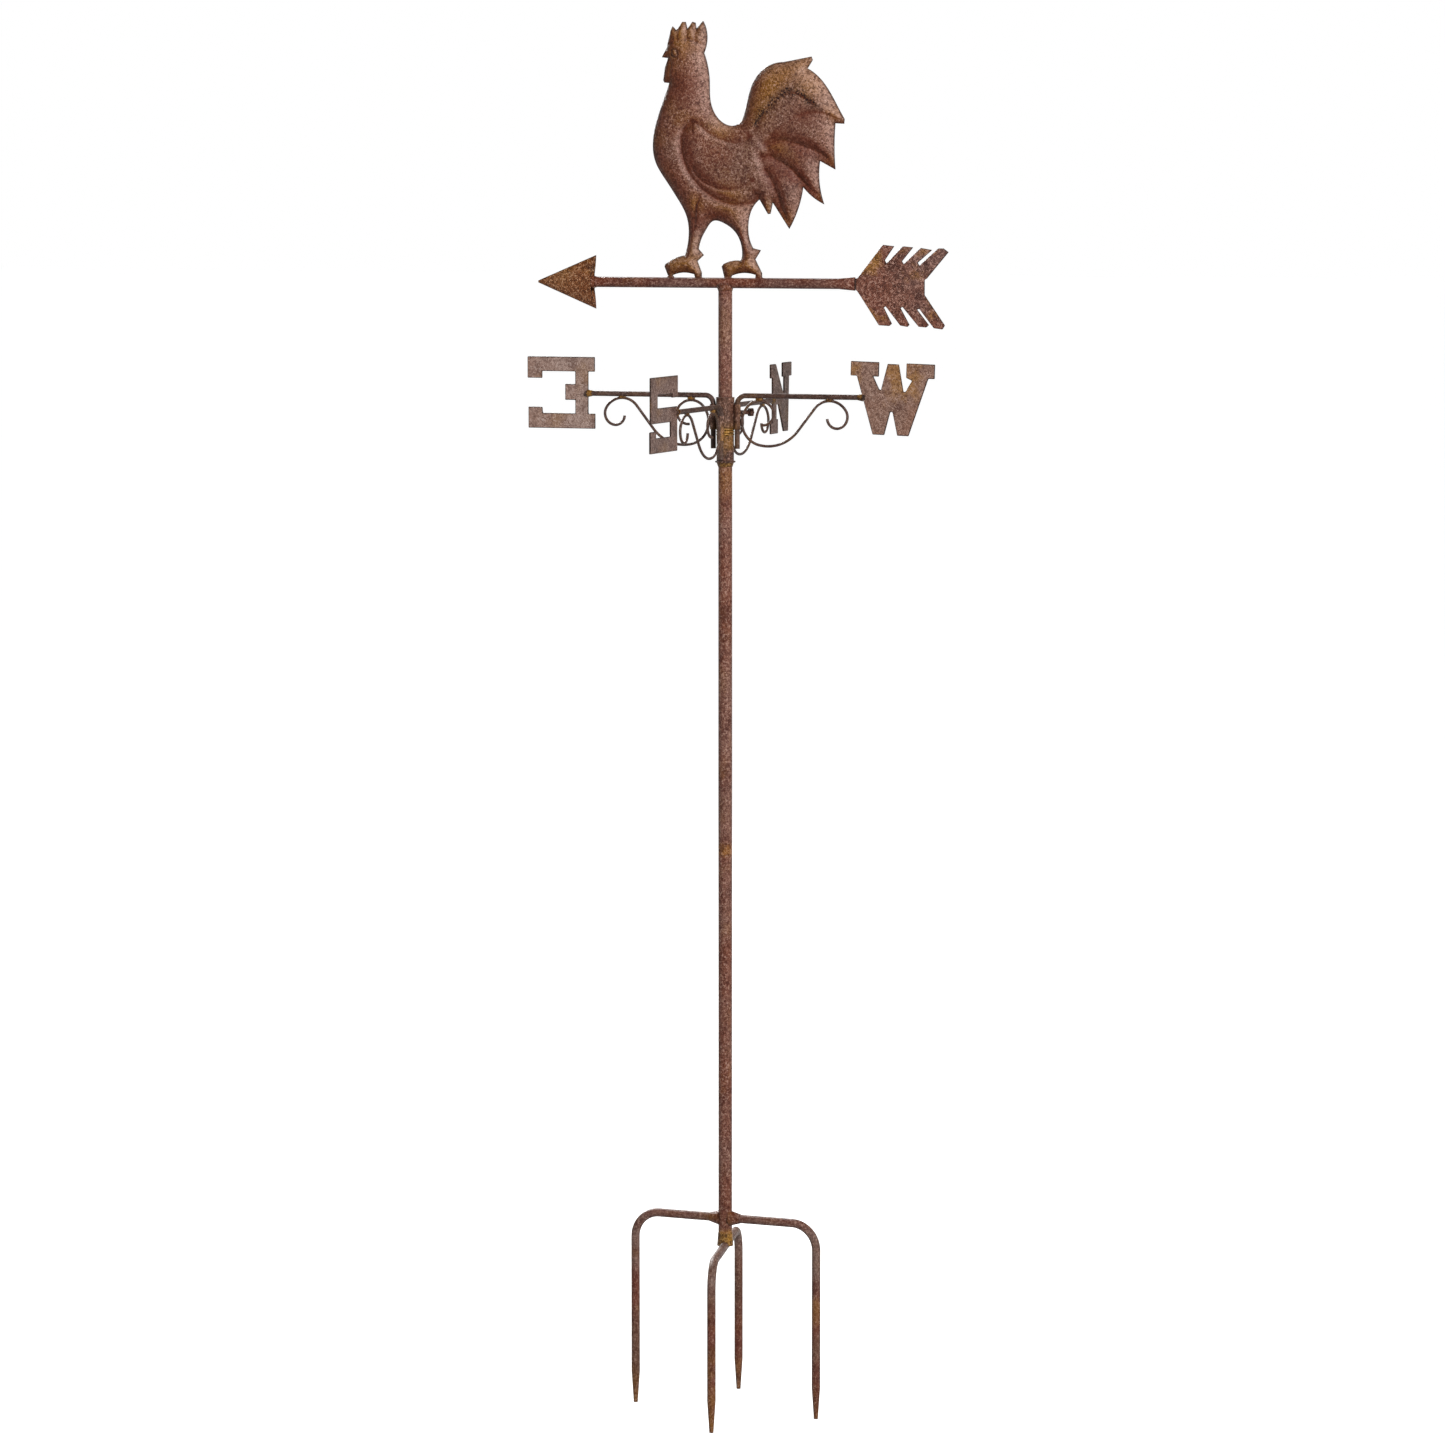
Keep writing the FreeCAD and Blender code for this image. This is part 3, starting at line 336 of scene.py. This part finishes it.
def resampled(points, step):
    """A closed outline with extra points so that no edge is longer than a step."""
    out = []
    for a, b in zip(points, np.roll(points, -1, axis=0)):
        count = max(1, int(np.ceil(np.linalg.norm(b - a) / step)))
        out += [a + (b - a) * i / count for i in range(count)]
    return np.array(out)


def nearest(points, line, closed=False):
    """Distance to a polyline, positive on its left-hand side, and the position along it."""
    line = np.asarray(line, float)
    ends = np.roll(line, -1, axis=0) if closed else line[1:]
    starts = line if closed else line[:-1]
    best = np.full(len(points), 1e9)
    side = np.ones(len(points))
    position = np.zeros(len(points))
    walked = 0.0
    for a, b in zip(starts, ends):
        along = b - a
        length = np.hypot(*along)
        share = np.clip(((points - a) @ along) / max(length ** 2, 1e-9), 0, 1)
        gap = points - (a + share[:, None] * along)
        distance = np.hypot(gap[:, 0], gap[:, 1])
        nearer = distance < best
        best = np.where(nearer, distance, best)
        cross = along[0] * gap[:, 1] - along[1] * gap[:, 0]
        side = np.where(nearer, np.where(cross >= 0, 1.0, -1.0), side)
        position = np.where(nearer, walked + share * length, position)
        walked += length
    return best * side, position, walked


def inside(points, ring):
    """True where points lie inside a closed outline."""
    state = np.zeros(len(points), bool)
    x, z = points[:, 0], points[:, 1]
    for (ax, az), (bx, bz) in zip(ring, np.roll(ring, -1, axis=0)):
        crosses = (az > z) != (bz > z)
        slope = (bx - ax) * (z - az) / ((bz - az) or 1e-12) + ax
        state ^= crosses & (x < slope)
    return state


def smooth(points, step=2.0):
    """A polyline rounded through its points (Catmull-Rom)."""
    pts = np.asarray(points, float)
    padded = np.vstack([2 * pts[0] - pts[1], pts, 2 * pts[-1] - pts[-2]])
    out = []
    for p0, p1, p2, p3 in zip(padded, padded[1:], padded[2:], padded[3:]):
        count = max(2, int(np.linalg.norm(p2 - p1) / step))
        for i in range(count):
            t = i / count
            out.append(0.5 * (2 * p1 + (p2 - p0) * t + (2 * p0 - 5 * p1 + 4 * p2 - p3) * t * t
                              + (3 * p1 - p0 - 3 * p2 + p3) * t ** 3))
    out.append(pts[-1])
    return np.array(out)


# Each crease: points, depth, reach on its left-hand side, reach on its right-hand side.  The ends fade out.
CREASES = [
    # wing's front and lower edge, then its top edge and its inner ridge
    ([(-30, 176), (-37, 177), (-45, 173), (-51, 163), (-52, 150), (-49, 134), (-43, 120), (-32, 106),
      (-17, 94), (0, 86), (19, 82.5), (36, 87), (46, 98)], 5.6, 8.5, 2.6),
    ([(-38, 178), (-29, 173), (-18, 164), (-5, 157.5), (11, 153), (26, 155), (38, 163)], 3.2, 7.0, 1.6),
    ([(-38, 130), (-36, 121), (-29, 112), (-17, 105), (0, 100), (19, 101.5), (42, 112)], 2.8, 5.0, 1.4),
    # tail feathers, from the top one down
    ([(50, 158), (62, 167), (78, 177), (100, 186), (122, 186), (150, 174)], 2.2, 2.0, 8.0),
    ([(44, 147), (54, 153), (70, 156), (86, 153), (104, 147), (119, 139), (134, 124), (142, 112)],
     6.4, 6.5, 10.5),
    ([(38, 134), (50, 138), (58, 137), (68, 132), (83, 122), (95, 108), (106, 97), (122, 84), (133, 74)],
     6.8, 6.5, 10.5),
    ([(44, 126), (51, 121), (55, 115), (59, 108), (64, 96), (70, 77), (79, 57), (84, 44)], 5.2, 6.0, 8.5),
    ([(34, 160), (39, 171), (47, 185), (58, 197), (71, 206), (86, 209), (99, 203), (114, 194)],
     1.8, 1.4, 5.0),
    # thigh
    ([(-25, 99), (-28, 92), (-33, 82), (-34, 71), (-36, 52)], 2.6, 1.4, 4.0),
    # brow and comb
    ([(-74, 266), (-66, 268), (-60, 270.5), (-54, 270), (-48, 272), (-37, 270), (-20, 262)], 1.6, 1.2, 1.8),
    ([(-64, 292), (-62, 266)], 1.3, 1.2, 1.2),
    ([(-59, 288), (-55, 264)], 1.5, 1.2, 1.2),
    ([(-46, 290), (-44, 264)], 1.9, 1.2, 1.4),
    ([(-35, 290), (-34, 263)], 1.9, 1.2, 1.4),
    # wattle
    ([(-74, 256), (-66, 247), (-64, 243), (-66, 232), (-66, 212)], 1.8, 1.4, 3.0),
]
END_FADE = 9.0             # length over which a crease's end fades out
SCUFF = [(40, 176), (48, 188), (56, 192), (60, 200), (70, 205), (78, 213), (86, 207), (94, 212), (100, 203),
         (112, 197)]
EYE = (-59.5, 255.5)
PILLOW = 10.6              # how far the bird's middle stands out from its rim
PILLOW_REACH = 9.5         # how quickly it rises inward from the outline
RIM = 0.9                  # half the bird's thickness at its outline
EDGE_STEP = 1.4            # longest edge along the outline
GRID_STEP = 1.25           # spacing of the points over the face


def creases_at(points):
    """Depth of all the creases together at the points."""
    depth = np.zeros(len(points))
    for line, amount, left, right in CREASES:
        distance, position, length = nearest(points, smooth(line))
        reach = np.where(distance > 0, left, right)
        fade = np.clip(np.minimum(position, length - position) / min(END_FADE, length / 3), 0, 1)
        depth += amount * fade * fade * (3 - 2 * fade) * np.exp(-np.abs(distance) / reach)
    return depth


def softened(values, links, fixed, rounds):
    """Values averaged with their neighbours over a mesh, except at the fixed points."""
    count = np.bincount(links.ravel(), minlength=len(values))
    for _ in range(rounds):
        total = np.zeros(len(values))
        np.add.at(total, links[:, 0], values[links[:, 1]])
        np.add.at(total, links[:, 1], values[links[:, 0]])
        values = np.where(fixed, values, 0.5 * values + 0.5 * total / count)
    return values


def relief(points, edge_gap, links):
    """How far the embossed sheet stands out from the seam plane, in millimetres."""
    body = softened(PILLOW * (1 - np.exp(-edge_gap / PILLOW_REACH)), links, edge_gap < 0.5, 14)
    cut = softened(creases_at(points), links, edge_gap < 0.5, 1) * (1 - np.exp(-edge_gap / 4.0))
    eye = np.linalg.norm(points - np.array(EYE), axis=1)
    bead = 1.5 * np.exp(-(eye / 2.4) ** 2) - 1.0 * np.exp(-((eye - 4.4) / 1.3) ** 2)
    return np.maximum(RIM + body - cut + bead, RIM)


def rooster_sheet(name, side, outline, node_name):
    """One embossed sheet of the bird, from its seam edge over its face."""
    ring = resampled(outline, EDGE_STEP)
    low, high = ring.min(0), ring.max(0)
    xs = np.arange(low[0], high[0], GRID_STEP)
    zs = np.arange(low[1], high[1], GRID_STEP * 0.866)
    grid = np.array([(x + (0.5 * GRID_STEP if row % 2 else 0), z) for row, z in enumerate(zs) for x in xs])
    grid = grid[inside(grid, ring)]
    grid = grid[np.abs(nearest(grid, ring, True)[0]) > 0.8]
    points = np.vstack([ring, grid])
    count = len(ring)
    edges = [(i, (i + 1) % count) for i in range(count)]
    flat, _, faces, origin, *_ = delaunay_2d_cdt([Vector(p) for p in points], edges, [], 1, 1e-5)
    flat = np.array([tuple(v) for v in flat])
    faces = [list(face) for face in faces]
    gap = np.abs(nearest(flat, ring, True)[0])
    sides = [pair for face in faces for pair in zip(face, face[1:] + face[:1])]
    links = np.array(sorted({tuple(sorted(pair)) for pair in sides}))
    height = relief(flat, gap, links)
    height[gap < 1e-3] = RIM
    verts = [(x * MM, side * h * MM, z * MM + BASE_Z) for (x, z), h in zip(flat, height)]
    seam = [(x * MM, 0.0, z * MM + BASE_Z) for x, z in ring]
    made_from = {i: made for made, sources in enumerate(origin) for i in sources}
    rim = [made_from[i] for i in range(count)]
    start = len(verts)
    turned = faces if side < 0 else [face[::-1] for face in faces]
    walls = []
    for i in range(count):
        j = (i + 1) % count
        quad = (rim[i], rim[j], start + j, start + i)
        walls.append(quad if side < 0 else tuple(reversed(quad)))
    mesh = bpy.data.meshes.new(name)
    mesh.from_pydata(verts + seam, [], list(turned) + walls)
    mesh.update()
    work = bmesh.new()
    work.from_mesh(mesh)
    bmesh.ops.recalc_face_normals(work, faces=work.faces)
    work.to_mesh(mesh)
    work.free()
    for face in mesh.polygons:
        face.use_smooth = True
        face.material_index = 1 if face.index >= len(turned) else 0
    paint(mesh, flat, gap, slope_for_painted_light(flat, height, faces), len(seam))
    sheet = bpy.data.objects.new(name, mesh)
    bpy.context.collection.objects.link(sheet)
    mesh.materials.append(rooster_rust)
    mesh.materials.append(edge_dark)
    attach(sheet, "vane")
    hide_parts(node_name)


def blob(points, centre, radius):
    away = np.linalg.norm(points - np.array(centre), axis=1)
    return np.exp(-(away / radius) ** 2)


# Where the warm dry-brushing and the patches of painted shade lie: (x, height), radius.
AMBER_SPOTS = [((-50, 278), 26), ((-70, 252), 14), ((-70, 228), 12), ((66, 150), 12), ((112, 220), 17),
               ((136, 190), 12), ((40, 190), 16), ((52, 212), 16), ((70, 232), 16), ((98, 242), 14),
               ((74, 66), 11), ((118, 90), 9), ((130, 130), 9), ((52, 80), 8), ((-58, 12), 18),
               ((10, 12), 18), ((38, 14), 12), ((-34, 12), 12), ((-34, 84), 10), ((4, 90), 16),
               ((-84, 160), 12), ((-70, 200), 10), ((-2, 170), 14)]
SHADE_SPOTS = [((-46, 215), 22), ((-44, 140), 12), ((-30, 60), 12), ((100, 185), 18), ((96, 142), 14),
               ((84, 116), 11), ((62, 118), 10), ((-20, 70), 16), ((-14, 190), 10), ((14, 50), 8)]


def slope_for_painted_light(flat, height, faces):
    """How steeply the relief falls towards the bird's front and feet: painted shade goes on such slopes and a
    painted highlight on those that rise that way.
    """
    corner = np.array([face[:3] for face in faces])
    p, q, r = (np.column_stack([flat, height])[corner[:, i]] for i in range(3))
    normal = np.cross(q - p, r - p)
    normal = normal * np.sign(normal[:, 2:3])
    slope = (normal[:, 0] * -0.85 + normal[:, 1] * -0.5) / np.maximum(normal[:, 2], 1e-6)
    area = np.abs(normal[:, 2])
    total = np.zeros(len(flat))
    weight = np.full(len(flat), 1e-9)
    for i in range(3):
        np.add.at(total, corner[:, i], slope * area)
        np.add.at(weight, corner[:, i], area)
    return total / weight


def paint(mesh, flat, gap, painted_light_slope, seam_count):
    """Vertex masks: warm dry-brushing, painted shade, painted highlight on slopes facing up and back, dark
    rim and the tail's scuffs.
    """
    amber = sum(blob(flat, centre, radius) for centre, radius in AMBER_SPOTS)
    # painted shade: dark patches, darker towards the front edge, in the creases and on slopes facing the
    # front and feet
    dark = sum(blob(flat, centre, radius) for centre, radius in SHADE_SPOTS)
    front = np.clip((-flat[:, 0] - 56) / 20, 0, 1) * np.exp(-gap / 9.0)
    dark = dark * 0.5 + creases_at(flat) / 5.0 * 0.8 + np.clip(painted_light_slope * 2.8, 0, 0.8) + 0.12 * front
    eye = np.linalg.norm(flat - np.array(EYE), axis=1)
    rim = np.exp(-gap / 1.1) + 0.8 * np.exp(-((eye - 4.4) / 1.2) ** 2)
    scuff = 1.6 * np.exp(-np.abs(nearest(flat, smooth(SCUFF))[0]) / 3.6)
    # painted highlight on slopes facing up and back
    pale = np.clip(-painted_light_slope * 1.6, 0, 0.85)
    masks = (("amber", amber), ("shade", dark), ("rim", rim), ("scuff", scuff), ("pale", pale))
    for title, values in masks:
        layer = mesh.attributes.new(title, "FLOAT", "POINT")
        full = np.concatenate([np.clip(values, 0, 1), np.zeros(seam_count)])
        layer.data.foreach_set("value", full.astype(np.float32))


bird_outline = front_outline()
rooster_sheet("rooster_front_sheet", -1, bird_outline, "rooster_front")
rooster_sheet("rooster_back_sheet", 1, bird_outline, "rooster_back")


# ---- camera, floor and lights ------------------------------------------------

LIGHT_AIM = (0, 0, 0.8)
FLOOR_REACH = 60.0         # metres from the pole to the floor's edges
FLOOR_DROP = 0.0005        # floor below the prong tips
FLOOR_TONE = (0.16, 0.16, 0.16, 1)   # dark, so that little of the lamps' light bounces up
FLOOR_GLOW = 0.97          # the floor's own light, which makes it pale and even
AZIMUTH = math.radians(20.0295)
TILT = math.radians(5.915)
camera = bpy.data.objects.new("camera", bpy.data.cameras.new("camera"))
bpy.context.collection.objects.link(camera)
camera.location = (2.1329, -5.8600, 1.455)
ahead = Vector((-math.sin(AZIMUTH) * math.cos(TILT), math.cos(AZIMUTH) * math.cos(TILT), -math.sin(TILT)))
camera.rotation_mode = "QUATERNION"
camera.rotation_quaternion = ahead.to_track_quat("-Z", "Y")
camera.data.lens = 135.26
camera.data.sensor_width = 36.0
camera.data.clip_end = 200.0
bpy.context.scene.camera = camera


def stage_floor():
    """A wide pale floor under the prong tips."""
    mesh = bpy.data.meshes.new("floor")
    corners = [(x * FLOOR_REACH, y * FLOOR_REACH, -FLOOR_DROP)
               for x, y in ((-1, -1), (1, -1), (1, 1), (-1, 1))]
    mesh.from_pydata(corners, [], [(0, 1, 2, 3)])
    floor = bpy.data.objects.new("floor", mesh)
    bpy.context.collection.objects.link(floor)
    paper = bpy.data.materials.new("floor_paper")
    paper.use_nodes = True
    shader = paper.node_tree.nodes["Principled BSDF"]
    shader.inputs["Base Color"].default_value = FLOOR_TONE
    shader.inputs["Roughness"].default_value = 0.9
    shader.inputs["Specular IOR Level"].default_value = 0.1
    shader.inputs["Emission Color"].default_value = (1, 1, 1, 1)
    shader.inputs["Emission Strength"].default_value = FLOOR_GLOW
    mesh.materials.append(paper)


def softbox(name, place, size, power):
    """A rectangular area light aimed at the middle of the pole."""
    light = bpy.data.lights.new(name, "AREA")
    light.shape = "RECTANGLE"
    light.size, light.size_y = size
    light.energy = power
    lamp = bpy.data.objects.new(name, light)
    bpy.context.collection.objects.link(lamp)
    lamp.location = place
    lamp.rotation_mode = "QUATERNION"
    lamp.rotation_quaternion = (Vector(LIGHT_AIM) - Vector(place)).to_track_quat("-Z", "Y")


stage_floor()
softbox("key_right", (2.9, -2.9, 3.2), (0.8, 1.6), 760)
softbox("fill_left", (-3.6, -2.0, 2.0), (1.2, 2.4), 50)
softbox("back_left", (-2.9, 2.9, 3.2), (0.8, 1.6), 760)
softbox("back_right", (3.6, 2.0, 2.0), (1.2, 2.4), 50)


def studio_world():
    """White all round at eye level, dimmer overhead."""
    world = bpy.data.worlds.new("studio")
    world.use_nodes = True
    nodes, links = world.node_tree.nodes, world.node_tree.links
    direction = nodes.new("ShaderNodeTexCoord")
    split = nodes.new("ShaderNodeSeparateXYZ")
    fall = nodes.new("ShaderNodeMapRange")
    fall.interpolation_type = "SMOOTHSTEP"
    fall.inputs["From Min"].default_value = 0.08
    fall.inputs["From Max"].default_value = 0.4
    fall.inputs["To Min"].default_value = 1.0
    fall.inputs["To Max"].default_value = 0.06
    links.new(direction.outputs["Generated"], split.inputs["Vector"])
    links.new(split.outputs["Z"], fall.inputs["Value"])
    links.new(fall.outputs["Result"], nodes["Background"].inputs["Strength"])
    nodes["Background"].inputs["Color"].default_value = (1, 1, 1, 1)
    bpy.context.scene.world = world


studio_world()
bpy.context.scene.view_settings.view_transform = "Standard"
